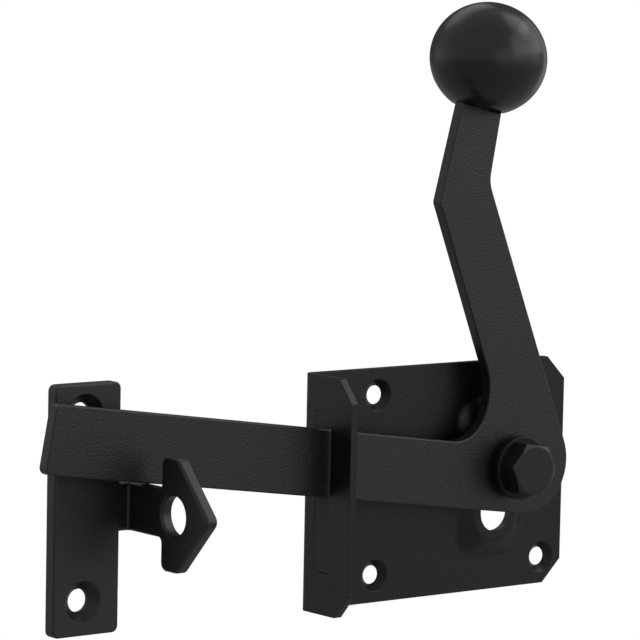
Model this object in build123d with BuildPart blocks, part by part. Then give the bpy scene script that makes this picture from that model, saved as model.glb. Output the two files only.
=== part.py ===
from build123d import *
from math import radians, sqrt, tan
import os

# Gate latch for a wooden gate, drawn closed: the bar rests on the neck of the strike.
# All sizes in millimetres and degrees. X runs to the right, Z up, and the wall is the
# plane Y = 0; the latch stands off it towards negative Y. The origin is midway between
# the two left screw holes of the base plate. A stand-off is a distance from the wall.

# base plate, one folded sheet
sheet = 3.0
plate_h = 90.0
screw_pitch_x = 84.2
screw_pitch_z = 69.3
screw_to_right_edge = 10.1
screw_to_flange_face = 34.0
screw_hole_d = 7.2
screw_sink_d = 12.4
plate_corner_cut = 9.0
flange_depth = 29.5
flange_cut_y = 7.6
flange_cut_z = 8.7
flange_corner_r = 1.5
bend_in_r = 0.8

# raised pad with the slot that sets the height of the pivot
pad_x = 56.8
pad_rise = 4.0
pad_wall_run = 6.0
pad_rim = 3.2
pad_slot_w = 15.0
pad_slot_len = 43.2
pad_top_corner_r = 10.0
pad_foot_corner_r = 9.5
pad_edge_r = 2.5
pad_foot_r = 4.0

# lever, cut from flat steel
lever_t = 5.0
bar_tilt = 8.0
bar_w = 25.4
bar_reach = 217.0
bar_end_skew = 0.6
bar_drop = 18.0
elbow_r = 20.0
inner_r_bar = 14.5
inner_turn_bar = 70.0
inner_r_arm = 24.0
arm_angle = 111.85
arm_splay = 0.3
arm_w = 25.4
arm_shift = 1.6
arm_len = 109.6
kink_skew = 1.2
kink_outer_r = 3.0
kink_inner_r = 12.0
tip_angle = 76.8
tip_w = 19.8
kink_to_knob = 52.1
bar_corner_r = 2.5
lever_edge_r = 0.6

# pivot
pivot_x = 58.0
pivot_z = 4.8
bolt_d = 12.0
bolt_len = 20.0
bolt_end_chamfer = 0.7
head_af = 19.2
head_h = 7.5
head_cone_d = 18.2
head_cone_angle = 25.6
head_turn = -9.6
washer_d = 24.6
washer_t = 2.5
washer_bore_gap = 0.5
washer_chamfer = 0.4
sleeve_d = 18.0
lever_play_back = 0.9
lever_play_front = 3.0
nut_plate_h = 26.0
nut_plate_corner_r = 4.0

# ball knob with its insert and stud
knob_d = 45.0
knob_h = 43.0
knob_seat = 19.1
bush_d = 14.0
bush_len = 14.0
bush_depth = 1.5
stud_d = 8.0
stud_len = 15.0
stud_relief = 3.0
stud_chamfer = 0.6

# strike, one folded piece
strike_t = 5.0
strike_w = 28.4
strike_h = 91.4
strike_x = -134.7
strike_z = 1.5
strike_corner_r = 2.5
strike_screw_pitch = 67.6
strike_screw_shift = -1.4
strike_screw_rise = 0.6
strike_hole_d = 8.6
strike_sink_d = 15.4
tab_len = 3.9
strike_bend_in_r = 1.0
head_back = 24.7
head_half_h = 20.6
head_shoulder = 9.8
head_point = 29.1
strike_head_r = 3.0
neck_fillet_r = 2.0
padlock_hole_d = 14.3
padlock_hole_back = 7.5
head_edge_r = 1.1
strike_edge_r = 0.8

# fits and travel
running_gap = 0.05
thread_gap = 0.05
press_gap = 0.02
sleeve_gap = 0.05
nut_side_gap = 0.3
nut_back_gap = 0.2
neck_gap = 0.12
slot_side_gap = 2.1
slot_low_z = -29.4
lift_angle = 4.0
slot_top_gap = 0.2

# standard angle of a countersunk screw, and how close an edge must lie to be picked
sink_angle = 90
pick_tolerance = 0.01

# positions that follow from the sizes above
plate_right = screw_pitch_x + screw_to_right_edge
flange_x = -screw_to_flange_face
pad_front = sheet + pad_rise
lever_back = pad_front + washer_t + lever_play_back
lever_front = lever_back + lever_t
lever_mid = lever_back + lever_t / 2
front_washer_back = lever_front + lever_play_front
bolt_seat = front_washer_back + washer_t
sleeve_back = pad_front + washer_t
pad_top_w = pad_slot_w + 2 * pad_rim
pad_top_len = pad_slot_len + 2 * pad_rim
nut_plate_w = pad_top_w - 2 * abs(pivot_x - pad_x) - 2 * nut_side_gap
head_corner_r = head_af / sqrt(3)
head_cone_drop = (head_corner_r - head_cone_d / 2) * tan(radians(head_cone_angle))

pivot = Vector(pivot_x, pivot_z)
bar_dir = Vector(1, 0).rotate(Axis.Z, -bar_tilt)
bar_up = Vector(0, 1).rotate(Axis.Z, -bar_tilt)
arm_dir = Vector(1, 0).rotate(Axis.Z, arm_angle)
arm_right = Vector(1, 0).rotate(Axis.Z, arm_angle - 90)
right_edge_out = arm_right.rotate(Axis.Z, arm_splay)
left_edge_out = arm_right.rotate(Axis.Z, -arm_splay) * -1
tip_dir = Vector(1, 0).rotate(Axis.Z, tip_angle)
tip_right = Vector(1, 0).rotate(Axis.Z, tip_angle - 90)

# heights of the lifted bar at the flange and of the resting bar at the neck
bar_top = bar_w - bar_drop
lifted_up = Vector(0, 1).rotate(Axis.Z, -bar_tilt - lift_angle)
flange_arm = pivot_x - flange_x
lifted_top_z = pivot_z + (bar_top + flange_arm * lifted_up.X) / lifted_up.Y
slot_top_z = lifted_top_z + slot_top_gap

strike_right = strike_x + strike_w / 2
strike_left = strike_x - strike_w / 2
neck_right = strike_right + tab_len + strike_t
neck_left = neck_right - strike_t
neck_arm = pivot_x - neck_right
rest_z = pivot_z + (neck_arm * bar_up.X - bar_drop) / bar_up.Y
neck_top = rest_z - neck_gap
neck_half_h = neck_top - strike_z

knob_mid = (pivot + arm_right * (arm_shift + arm_w / 2) + arm_dir * arm_len + tip_dir * kink_to_knob)
knob_plane = Plane(
    origin=(knob_mid.X, -lever_mid, knob_mid.Y),
    x_dir=(0, -1, 0),
    z_dir=(tip_dir.X, 0, tip_dir.Y),
)
pivot_plane = Plane(origin=(pivot_x, 0, pivot_z), x_dir=(1, 0, 0), z_dir=(0, -1, 0))


# base plate: back sheet and flange, then the pad pressed forward, then the holes
with BuildPart() as base_plate:
    with BuildSketch(Plane.XZ):
        with BuildLine():
            Polyline(
                (flange_x, -plate_h / 2),
                (plate_right - plate_corner_cut, -plate_h / 2),
                (plate_right, -plate_h / 2 + plate_corner_cut),
                (plate_right, plate_h / 2 - plate_corner_cut),
                (plate_right - plate_corner_cut, plate_h / 2),
                (flange_x, plate_h / 2),
                close=True,
            )
        make_face()
    extrude(amount=sheet)
    with BuildSketch(Plane.YZ.offset(flange_x)) as flange_outline:
        with BuildLine():
            Polyline(
                (0, -plate_h / 2),
                (-flange_depth + flange_cut_y, -plate_h / 2),
                (-flange_depth, -plate_h / 2 + flange_cut_z),
                (-flange_depth, plate_h / 2 - flange_cut_z),
                (-flange_depth + flange_cut_y, plate_h / 2),
                (0, plate_h / 2),
                close=True,
            )
        make_face()
        front_corners = flange_outline.vertices().filter_by(lambda v: v.X < -sheet)
        fillet(front_corners, flange_corner_r)
    extrude(amount=sheet)
    upright = base_plate.edges().filter_by(Axis.Z)
    outer_bend = upright.sort_by_distance((flange_x, 0, 0))[0]
    fillet(outer_bend, sheet + bend_in_r)
    upright = base_plate.edges().filter_by(Axis.Z)
    inner_bend = upright.sort_by_distance((flange_x + sheet, -sheet, 0))[0]
    fillet(inner_bend, bend_in_r)

    # the pad is a low dome with a flat top; the recess behind it keeps the sheet thickness
    with BuildSketch(Plane.XZ.offset(sheet)):
        with Locations((pad_x, 0)):
            RectangleRounded(
                pad_top_w + 2 * pad_wall_run,
                pad_top_len + 2 * pad_wall_run,
                pad_foot_corner_r,
            )
    with BuildSketch(Plane.XZ.offset(pad_front)):
        with Locations((pad_x, 0)):
            RectangleRounded(pad_top_w, pad_top_len, pad_top_corner_r)
    loft(ruled=True)
    pad_rims = base_plate.edges().filter_by_position(
        Axis.Y, -pad_front - pick_tolerance, -pad_front + pick_tolerance
    )
    fillet(pad_rims, pad_edge_r)
    pad_feet = base_plate.faces().filter_by(Plane.XZ).sort_by(SortBy.AREA)[-2:].sort_by(Axis.Y)[0]
    fillet(pad_feet.inner_wires().edges(), pad_foot_r)
    with BuildSketch(Plane.XZ):
        with Locations((pad_x, 0)):
            RectangleRounded(
                pad_top_w + 2 * pad_wall_run,
                pad_top_len + 2 * pad_wall_run,
                pad_foot_corner_r,
            )
    with BuildSketch(Plane.XZ.offset(pad_rise)):
        with Locations((pad_x, 0)):
            RectangleRounded(pad_top_w, pad_top_len, pad_top_corner_r)
    loft(ruled=True, mode=Mode.SUBTRACT)
    with BuildSketch(Plane.XZ):
        with Locations((pad_x, 0)):
            SlotOverall(pad_slot_len, pad_slot_w, rotation=90)
    extrude(amount=pad_front, mode=Mode.SUBTRACT)

    # the slot in the flange is long enough for the bar to be lifted off the strike
    with BuildSketch(Plane.YZ.offset(flange_x)):
        with Locations((-lever_mid, (slot_top_z + slot_low_z) / 2)):
            Rectangle(lever_t + 2 * slot_side_gap, slot_top_z - slot_low_z)
    extrude(amount=sheet, mode=Mode.SUBTRACT)
    with Locations(Plane.XZ.offset(sheet)):
        with Locations(
            (0, screw_pitch_z / 2),
            (0, -screw_pitch_z / 2),
            (screw_pitch_x, -screw_pitch_z / 2),
        ):
            CounterSinkHole(screw_hole_d / 2, screw_sink_d / 2, sheet, sink_angle)

# lever: one outline, drawn from the end of the bar round the elbow and up the arm
low_end = pivot - bar_dir * (bar_reach + bar_end_skew) - bar_up * bar_drop
high_end = pivot - bar_dir * (bar_reach - bar_end_skew) + bar_up * bar_top
kink_left = pivot + arm_right * arm_shift + arm_dir * (arm_len + kink_skew)
kink_right = pivot + arm_right * (arm_shift + arm_w) + arm_dir * (arm_len - kink_skew)
tip_mid = knob_mid - tip_dir * knob_seat

# the elbow touches the underside of the bar and the right edge of the arm
elbow_line = pivot - bar_up * (bar_drop - elbow_r)
elbow_run = ((kink_right - elbow_line).dot(right_edge_out) - elbow_r) / bar_dir.dot(right_edge_out)
elbow_start = elbow_line - bar_up * elbow_r + bar_dir * elbow_run

# the inner corner is two arcs, which touch the top of the bar and the left edge of the arm
inner_turn_arm = bar_tilt + arm_angle - arm_splay - inner_turn_bar
mid_up = bar_up.rotate(Axis.Z, inner_turn_bar)
inner_line = pivot + bar_up * bar_top
inner_move = (bar_up - mid_up) * inner_r_bar + (mid_up - left_edge_out) * inner_r_arm
inner_run = (kink_left - inner_line - inner_move).dot(left_edge_out) / bar_dir.dot(left_edge_out)
inner_start = inner_line + bar_dir * inner_run

with BuildPart() as lever:
    with BuildSketch(Plane.XZ.offset(lever_back)) as lever_outline:
        with BuildLine():
            Line(low_end, elbow_start)
            elbow = JernArc(elbow_start, bar_dir, elbow_r, bar_tilt + arm_angle + arm_splay)
            inner_low = JernArc(inner_start, bar_dir, inner_r_bar, inner_turn_bar)
            inner_high = JernArc(inner_low @ 1, inner_low % 1, inner_r_arm, inner_turn_arm)
            Polyline(
                elbow @ 1,
                kink_right,
                tip_mid + tip_right * tip_w / 2,
                tip_mid - tip_right * tip_w / 2,
                kink_left,
                inner_high @ 1,
            )
            Polyline(inner_start, high_end, low_end)
        make_face()
        corners = lever_outline.vertices()
        fillet(corners.sort_by(Axis.X)[:2], bar_corner_r)
        corners = lever_outline.vertices()
        fillet(corners.sort_by_distance((kink_left.X, kink_left.Y, 0))[0], kink_outer_r)
        corners = lever_outline.vertices()
        fillet(corners.sort_by_distance((kink_right.X, kink_right.Y, 0))[0], kink_inner_r)
    extrude(amount=lever_t)
    long_edges = lever.edges().filter_by(
        lambda e: abs(e.center().Y + lever_mid) > lever_t / 2 - pick_tolerance
    )
    fillet(long_edges, lever_edge_r)
    with BuildSketch(pivot_plane.offset(lever_back)):
        Circle(sleeve_d / 2 + running_gap)
    extrude(amount=lever_t, mode=Mode.SUBTRACT)

# strike: back sheet with two sunk holes, a folded neck, and the arrow shaped head
with BuildPart() as strike:
    with BuildSketch(Plane.XZ) as strike_back:
        with Locations((strike_x, strike_z)):
            RectangleRounded(strike_w, strike_h, strike_corner_r)
    extrude(amount=strike_t)
    with BuildSketch(Plane.XY.offset(strike_z - neck_half_h)):
        with BuildLine():
            Polyline(
                (strike_right - strike_t, 0),
                (neck_right, 0),
                (neck_right, -head_back - strike_head_r),
                (neck_left, -head_back - strike_head_r),
                (neck_left, -strike_t),
                (strike_right - strike_t, -strike_t),
                close=True,
            )
        make_face()
    extrude(amount=2 * neck_half_h)
    folds = strike.edges().filter_by(Axis.Z)
    fillet(folds.sort_by_distance((neck_right, 0, strike_z))[0], strike_t + strike_bend_in_r)
    folds = strike.edges().filter_by(Axis.Z)
    fillet(folds.sort_by_distance((neck_left, -strike_t, strike_z))[0], strike_bend_in_r)
    with BuildSketch(Plane.YZ.offset(neck_left)) as head:
        with BuildLine():
            Polyline(
                (-head_back, strike_z - head_half_h),
                (-head_back - head_shoulder, strike_z - head_half_h),
                (-head_back - head_point, strike_z),
                (-head_back - head_shoulder, strike_z + head_half_h),
                (-head_back, strike_z + head_half_h),
                close=True,
            )
        make_face()
        fillet(head.vertices(), strike_head_r)
    extrude(amount=strike_t)
    roots = strike.edges().filter_by(Axis.X).filter_by(
        lambda e: abs(e.center().Y + head_back) < pick_tolerance
        and abs(abs(e.center().Z - strike_z) - neck_half_h) < pick_tolerance
    )
    fillet(roots, neck_fillet_r)
    with BuildSketch(Plane.YZ.offset(neck_left)):
        with Locations((-head_back - padlock_hole_back, strike_z)):
            Circle(padlock_hole_d / 2)
    extrude(amount=strike_t, mode=Mode.SUBTRACT)
    sides = strike.faces().filter_by(Plane.YZ).sort_by(SortBy.AREA)[-2:]
    rims = sides.edges().filter_by(lambda e: e.center().Y < -head_back + neck_fillet_r)
    fillet(rims, head_edge_r)
    front = strike.faces().filter_by(Plane.XZ).sort_by(SortBy.AREA)[-2:].sort_by(Axis.Y)[0]
    front_rim = front.outer_wire().edges().filter_by(
        lambda e: e.center().X < strike_right - pick_tolerance
    )
    fillet(front_rim, strike_edge_r)
    with Locations(Plane.XZ.offset(strike_t)):
        with Locations((strike_x + strike_screw_shift, strike_z + strike_screw_rise)):
            with GridLocations(0, strike_screw_pitch, 1, 2):
                CounterSinkHole(strike_hole_d / 2, strike_sink_d / 2, strike_t, sink_angle)

# pivot bolt: shank, then the head with its corners turned down to a cone
with BuildPart() as pivot_bolt:
    with BuildSketch(pivot_plane.offset(bolt_seat)):
        RegularPolygon(head_af / 2, 6, major_radius=False, rotation=head_turn)
    extrude(amount=head_h)
    with BuildSketch(Plane(origin=(pivot_x, 0, pivot_z), x_dir=(1, 0, 0), z_dir=(0, 0, 1))):
        with BuildLine():
            Polyline(
                (0, -bolt_seat),
                (head_corner_r, -bolt_seat),
                (head_corner_r, -bolt_seat - head_h + head_cone_drop),
                (head_cone_d / 2, -bolt_seat - head_h),
                (0, -bolt_seat - head_h),
                close=True,
            )
        make_face()
    revolve(axis=Axis((pivot_x, 0, pivot_z), (0, 1, 0)), mode=Mode.INTERSECT)
    with BuildSketch(pivot_plane.offset(bolt_seat)):
        Circle(bolt_d / 2)
    extrude(amount=-bolt_len)
    chamfer(pivot_bolt.faces().sort_by(Axis.Y)[-1].edges(), bolt_end_chamfer)

# two plain washers, and between them the sleeve that the lever turns on
with BuildPart() as front_washer:
    with BuildSketch(pivot_plane.offset(front_washer_back)):
        Circle(washer_d / 2)
        Circle(bolt_d / 2 + washer_bore_gap, mode=Mode.SUBTRACT)
    extrude(amount=washer_t)
    chamfer(front_washer.faces().sort_by(Axis.Y)[0].outer_wire().edges(), washer_chamfer)

with BuildPart() as rear_washer:
    with BuildSketch(pivot_plane.offset(pad_front)):
        Circle(washer_d / 2)
        Circle(bolt_d / 2 + washer_bore_gap, mode=Mode.SUBTRACT)
    extrude(amount=washer_t)
    chamfer(rear_washer.faces().sort_by(Axis.Y)[0].outer_wire().edges(), washer_chamfer)

with BuildPart() as pivot_sleeve:
    with BuildSketch(pivot_plane.offset(sleeve_back)):
        Circle(sleeve_d / 2)
        Circle(bolt_d / 2 + sleeve_gap, mode=Mode.SUBTRACT)
    extrude(amount=front_washer_back - sleeve_back)

# nut plate: sits in the recess, too wide to turn, and slides along it with the bolt
with BuildPart() as nut_plate:
    with BuildSketch(pivot_plane.offset(nut_back_gap)):
        RectangleRounded(nut_plate_w, nut_plate_h, nut_plate_corner_r)
        Circle(bolt_d / 2 + thread_gap, mode=Mode.SUBTRACT)
    extrude(amount=pad_rise - nut_back_gap)

# knob: a slightly flattened ball with a flat seat, its insert, and the stud on the arm
with BuildPart() as ball_knob:
    with BuildSketch(Plane(origin=knob_plane.origin, x_dir=knob_plane.x_dir, z_dir=knob_plane.y_dir)):
        Ellipse(knob_d / 2, knob_h / 2)
        with Locations((-knob_d / 2, 0)):
            Rectangle(knob_d, knob_d, mode=Mode.SUBTRACT)
    revolve(axis=Axis(knob_plane.origin, knob_plane.z_dir))
    with BuildSketch(knob_plane.offset(-knob_seat)):
        Circle(knob_d)
    extrude(amount=-knob_d, mode=Mode.SUBTRACT)
    with BuildSketch(knob_plane.offset(bush_depth - knob_seat)):
        Circle(bush_d / 2 + press_gap)
    extrude(amount=bush_len, mode=Mode.SUBTRACT)
    with BuildSketch(knob_plane.offset(-knob_seat)):
        Circle(stud_d / 2 + thread_gap)
    extrude(amount=stud_len + stud_relief, mode=Mode.SUBTRACT)

with BuildPart() as knob_bush:
    with BuildSketch(knob_plane.offset(bush_depth - knob_seat)):
        Circle(bush_d / 2)
        Circle(stud_d / 2 + thread_gap, mode=Mode.SUBTRACT)
    extrude(amount=bush_len)

with BuildPart() as knob_stud:
    with BuildSketch(knob_plane.offset(-knob_seat)):
        Circle(stud_d / 2)
    extrude(amount=stud_len)
    chamfer(knob_stud.edges().sort_by(Axis.Z)[-1], stud_chamfer)

base_plate.part.label = "base_plate"
lever.part.label = "lever"
strike.part.label = "strike"
pivot_bolt.part.label = "pivot_bolt"
front_washer.part.label = "front_washer"
pivot_sleeve.part.label = "pivot_sleeve"
rear_washer.part.label = "rear_washer"
nut_plate.part.label = "nut_plate"
ball_knob.part.label = "ball_knob"
knob_bush.part.label = "knob_bush"
knob_stud.part.label = "knob_stud"

os.makedirs("parts", exist_ok=True)
export_step(base_plate.part, "parts/base_plate.step")
export_step(lever.part, "parts/lever.step")
export_step(strike.part, "parts/strike.step")
export_step(pivot_bolt.part, "parts/pivot_bolt.step")
export_step(front_washer.part, "parts/front_washer.step")
export_step(pivot_sleeve.part, "parts/pivot_sleeve.step")
export_step(rear_washer.part, "parts/rear_washer.step")
export_step(nut_plate.part, "parts/nut_plate.step")
export_step(ball_knob.part, "parts/ball_knob.step")
export_step(knob_bush.part, "parts/knob_bush.step")
export_step(knob_stud.part, "parts/knob_stud.step")
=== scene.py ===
from math import radians

import bpy
import numpy as np
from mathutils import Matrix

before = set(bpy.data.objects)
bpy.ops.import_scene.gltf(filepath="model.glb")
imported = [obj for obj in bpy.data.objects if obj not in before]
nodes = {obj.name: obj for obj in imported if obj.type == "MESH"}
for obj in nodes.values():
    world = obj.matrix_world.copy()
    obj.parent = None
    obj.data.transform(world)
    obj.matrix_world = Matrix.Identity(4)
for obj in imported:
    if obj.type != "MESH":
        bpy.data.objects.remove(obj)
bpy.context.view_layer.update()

# Base plate: one 3 mm steel sheet, pressed and folded, then coated satin black all over.
# The pad in its middle is drawn forward for the pivot, and the flange on the left carries the
# slot that guides the bar. Three countersunk screws, not shown, hold it to the gate.


def coat(name, colour, roughness, gloss_spread, grain_scale, grain_depth, ior=1.5, metal=0.0):
    """Finish of one colour, for coated, moulded and bare pieces. Its roughness is the given one
    plus or minus the spread, following a slow noise. Its relief is a fine noise times the depth
    of the grain, on normals averaged over a small radius, which rounds the sharp edges."""
    patch_scale = 60
    patch_detail = 4
    grain_detail = 3
    edge_radius = 0.0004
    edge_samples = 6

    material = bpy.data.materials.new(name)
    material.use_nodes = True
    tree = material.node_tree
    shader = tree.nodes["Principled BSDF"]
    shader.inputs["Base Color"].default_value = (*colour, 1)
    shader.inputs["Metallic"].default_value = metal
    shader.inputs["IOR"].default_value = ior
    place = tree.nodes.new("ShaderNodeTexCoord")
    patches = tree.nodes.new("ShaderNodeTexNoise")
    patches.inputs["Scale"].default_value = patch_scale
    patches.inputs["Detail"].default_value = patch_detail
    gloss = tree.nodes.new("ShaderNodeMapRange")
    gloss.inputs["To Min"].default_value = roughness - gloss_spread
    gloss.inputs["To Max"].default_value = roughness + gloss_spread
    grain = tree.nodes.new("ShaderNodeTexNoise")
    grain.inputs["Scale"].default_value = grain_scale
    grain.inputs["Detail"].default_value = grain_detail
    relief = tree.nodes.new("ShaderNodeBump")
    relief.inputs["Strength"].default_value = 1.0
    relief.inputs["Distance"].default_value = grain_depth
    soft_edge = tree.nodes.new("ShaderNodeBevel")
    soft_edge.samples = edge_samples
    soft_edge.inputs["Radius"].default_value = edge_radius
    tree.links.new(soft_edge.outputs["Normal"], relief.inputs["Normal"])
    tree.links.new(place.outputs["Object"], patches.inputs["Vector"])
    tree.links.new(place.outputs["Object"], grain.inputs["Vector"])
    tree.links.new(patches.outputs["Fac"], gloss.inputs["Value"])
    tree.links.new(gloss.outputs["Result"], shader.inputs["Roughness"])
    tree.links.new(grain.outputs["Fac"], relief.inputs["Height"])
    tree.links.new(relief.outputs["Normal"], shader.inputs["Normal"])
    return material


def paint(piece, material):
    """Gives a piece one material all over, in place of those it had."""
    piece.data.materials.clear()
    piece.data.materials.append(material)


sheet_coat = coat(
    "sheet_coat",
    colour=(0.003, 0.003, 0.0032),
    roughness=0.36,
    gloss_spread=0.04,
    grain_scale=1200,
    grain_depth=0.0001,
    ior=1.43,
)
paint(nodes["base_plate"], sheet_coat)

# Strike: one piece of 5 mm steel, cut to a plate, a neck and an arrow head and folded once at
# the neck, with a slightly duller black coat. Two countersunk screws, not shown, hold it to
# the post, and the bar drops between its plate and its head.

strike_coat = coat(
    "strike_coat",
    colour=(0.005, 0.005, 0.0052),
    roughness=0.40,
    gloss_spread=0.05,
    grain_scale=900,
    grain_depth=0.00006,
    ior=1.52,
)
paint(nodes["strike"], strike_coat)

# Lever: bar, elbow and arm cut in one from 5 mm flat steel, with the grainiest of the coats.
# It turns on the sleeve of the pivot bolt, and the knob is screwed to the end of its arm.

lever_coat = coat(
    "lever_coat",
    colour=(0.006, 0.006, 0.0062),
    roughness=0.38,
    gloss_spread=0.06,
    grain_scale=1100,
    grain_depth=0.00018,
)
paint(nodes["lever"], lever_coat)

# Pivot bolt, sleeve and nut plate: a hexagon head bolt, a turned tube and a small plate with a
# threaded hole, all steel with a thin, smooth black coat. The bolt clamps the sleeve against
# the pad, and the nut plate takes its thread in the recess behind the pad.

bolt_coat = coat(
    "bolt_coat",
    colour=(0.005, 0.005, 0.0053),
    roughness=0.34,
    gloss_spread=0.03,
    grain_scale=2500,
    grain_depth=0.00001,
    ior=1.45,
)
for name in ("pivot_bolt", "pivot_sleeve", "nut_plate"):
    paint(nodes[name], bolt_coat)

# Washers: two plain rings punched from steel sheet, with the dullest of the black coats.
# The front one is clamped under the head of the bolt, the rear one against the pad.

washer_coat = coat(
    "washer_coat",
    colour=(0.004, 0.004, 0.0042),
    roughness=0.48,
    gloss_spread=0.03,
    grain_scale=2500,
    grain_depth=0.00001,
    ior=1.33,
)
for name in ("front_washer", "rear_washer"):
    paint(nodes[name], washer_coat)

# Ball knob: moulded from black plastic and polished, glossier than the coated steel. A brass
# insert is pressed into it, which screws on a bare steel stud at the end of the arm.

knob_plastic = coat(
    "knob_black",
    colour=(0.004, 0.004, 0.0042),
    roughness=0.25,
    gloss_spread=0.03,
    grain_scale=700,
    grain_depth=0.00001,
)
paint(nodes["ball_knob"], knob_plastic)

brass = coat(
    "brass",
    colour=(0.5, 0.34, 0.13),
    roughness=0.35,
    gloss_spread=0.03,
    grain_scale=900,
    grain_depth=0.000004,
    metal=1.0,
)
paint(nodes["knob_bush"], brass)

bare_steel = coat(
    "stud_steel",
    colour=(0.35, 0.35, 0.36),
    roughness=0.35,
    gloss_spread=0.03,
    grain_scale=900,
    grain_depth=0.000004,
    metal=1.0,
)
paint(nodes["knob_stud"], bare_steel)

# Floor: a wide grey sheet, flat and level, lying well below the latch. It sends soft light up
# at the latch, and the camera itself sees it as plain white, so that no horizon shows.

scene = bpy.context.scene
floor_reach = 8.0
floor_height = -0.40
floor_grey = 0.46

floor_mesh = bpy.data.meshes.new("floor")
floor_corners = [
    (-floor_reach, -floor_reach, floor_height),
    (floor_reach, -floor_reach, floor_height),
    (floor_reach, floor_reach, floor_height),
    (-floor_reach, floor_reach, floor_height),
]
floor_mesh.from_pydata(floor_corners, [], [(0, 1, 2, 3)])
floor = bpy.data.objects.new("floor", floor_mesh)
scene.collection.objects.link(floor)


def white_to_camera(tree, lit, white, surface):
    """Joins two shaders into a surface. Their mix is the larger of two marks, one for camera
    rays and one for transmission rays: at 1 it is the white shader, at 0 the lit one."""
    path = tree.nodes.new("ShaderNodeLightPath")
    seen = tree.nodes.new("ShaderNodeMath")
    seen.operation = "MAXIMUM"
    tree.links.new(path.outputs["Is Camera Ray"], seen.inputs[0])
    tree.links.new(path.outputs["Is Transmission Ray"], seen.inputs[1])
    mix = tree.nodes.new("ShaderNodeMixShader")
    tree.links.new(seen.outputs[0], mix.inputs[0])
    tree.links.new(lit.outputs[0], mix.inputs[1])
    tree.links.new(white.outputs[0], mix.inputs[2])
    tree.links.new(mix.outputs[0], surface)


floor_paint = bpy.data.materials.new("floor_paint")
floor_paint.use_nodes = True
floor_tree = floor_paint.node_tree
floor_lit = floor_tree.nodes["Principled BSDF"]
floor_lit.inputs["Base Color"].default_value = (floor_grey, floor_grey, floor_grey, 1)
floor_white = floor_tree.nodes.new("ShaderNodeEmission")
floor_surface = floor_tree.nodes["Material Output"].inputs["Surface"]
white_to_camera(floor_tree, floor_lit, floor_white, floor_surface)
paint(floor, floor_paint)

# Sky: an even soft glow all round, like the walls of a light tent. It falls off towards the
# side that the camera looks to, as if a black card stood behind the latch there, which keeps
# the faces seen edge on dark. The camera itself sees it as plain white.

sky_glow = 0.52
card_glow = 0.10
card_way = (0.62, 0.78, 0.0)
card_starts = 0.35
card_full = 0.88

world = bpy.data.worlds.new("studio")
scene.world = world
world.use_nodes = True
sky_tree = world.node_tree
sky_lit = sky_tree.nodes["Background"]
sky_lit.inputs["Color"].default_value = (1, 1, 1, 1)
sky_white = sky_tree.nodes.new("ShaderNodeBackground")
sky_white.inputs["Strength"].default_value = 1.0
sky_white.inputs["Color"].default_value = (1, 1, 1, 1)

# The glow goes from that of the sky to that of the card as the cosine between a ray's way out
# and the way to the card goes from card_starts to card_full.
way_out = sky_tree.nodes.new("ShaderNodeTexCoord")
nearness = sky_tree.nodes.new("ShaderNodeVectorMath")
nearness.operation = "DOT_PRODUCT"
nearness.inputs[1].default_value = card_way
card = sky_tree.nodes.new("ShaderNodeMapRange")
card.inputs["From Min"].default_value = card_starts
card.inputs["From Max"].default_value = card_full
card.inputs["To Min"].default_value = sky_glow
card.inputs["To Max"].default_value = card_glow
sky_tree.links.new(way_out.outputs["Generated"], nearness.inputs[0])
sky_tree.links.new(nearness.outputs["Value"], card.inputs["Value"])
sky_tree.links.new(card.outputs["Result"], sky_lit.inputs["Strength"])
sky_surface = sky_tree.nodes["World Output"].inputs["Surface"]
white_to_camera(sky_tree, sky_lit, sky_white, sky_surface)

# Lamps: six flat softboxes of cloth on a frame, standing round the latch. Each stands where
# the faces it is meant for mirror it towards the camera, and faces the upright line through
# the middle of the latch, at its own aim height.

middle = (-0.02, -0.02)
middle_height = 0.04


def softbox(name, place, aim_height, size, power):
    """Rectangular area lamp at a place, its size a width and a height. Its turn is the angle of
    the level way to the middle of the latch, counted from X, less a quarter turn. Its tilt from
    facing straight down has a tangent of the level distance over the drop to the aim."""
    lamp = bpy.data.lights.new(name, "AREA")
    lamp.shape = "RECTANGLE"
    lamp.size, lamp.size_y = size
    lamp.energy = power
    box = bpy.data.objects.new(name, lamp)
    scene.collection.objects.link(box)
    way = np.array((*middle, aim_height), float) - np.array(place, float)
    turn = np.arctan2(way[1], way[0]) - np.pi / 2
    tilt = np.arctan2(np.hypot(way[0], way[1]), -way[2])
    box.location = place
    box.rotation_euler = (tilt, 0, turn)


# Behind and above, for the upper edges.
softbox("back_box", (0.30, 1.22, 1.3), middle_height, size=(1.4, 0.8), power=2.2)
# Large and high on the right, the main light, for the upper right of the ball.
softbox("right_box", (2.2, -1.7, 1.85), aim_height=1.85, size=(4.8, 2.6), power=34)
# Wide and low in front, for the faces that look forward.
softbox("front_box", (1.29, -2.72, 0.60), aim_height=0.60, size=(7.2, 2.0), power=15)
# Narrow on the right and a little behind, for the rim of the ball.
softbox("rim_box", (1.3, 0.35, 0.2), middle_height, size=(0.4, 1.4), power=0.8)
# Low behind on the left, for the outer face of the flange.
softbox("left_box", (-1.6, 1.9, 0.1), aim_height=0.1, size=(2.6, 0.9), power=1.3)
# Above on the right, for the cut corners and the countersinks.
softbox("top_box", (0.94, -0.22, 1.28), middle_height, size=(0.9, 0.8), power=2.4)

# Camera: a long lens on a full-frame sensor, a little above the latch and to its left. Place,
# lens and angles were fitted to the straight edges and the circles of the photograph.

camera_data = bpy.data.cameras.new("camera")
camera_data.sensor_width = 36
camera_data.lens = 214.16
camera = bpy.data.objects.new("camera", camera_data)
scene.collection.objects.link(camera)
camera.location = (-0.90438, -1.11794, 0.21149)
camera_tilt = radians(84.0918)
camera_roll = radians(-1.1509)
camera_turn = radians(-38.0209)
camera.rotation_euler = (camera_tilt, camera_roll, camera_turn)
scene.camera = camera
scene.view_settings.view_transform = "Standard"
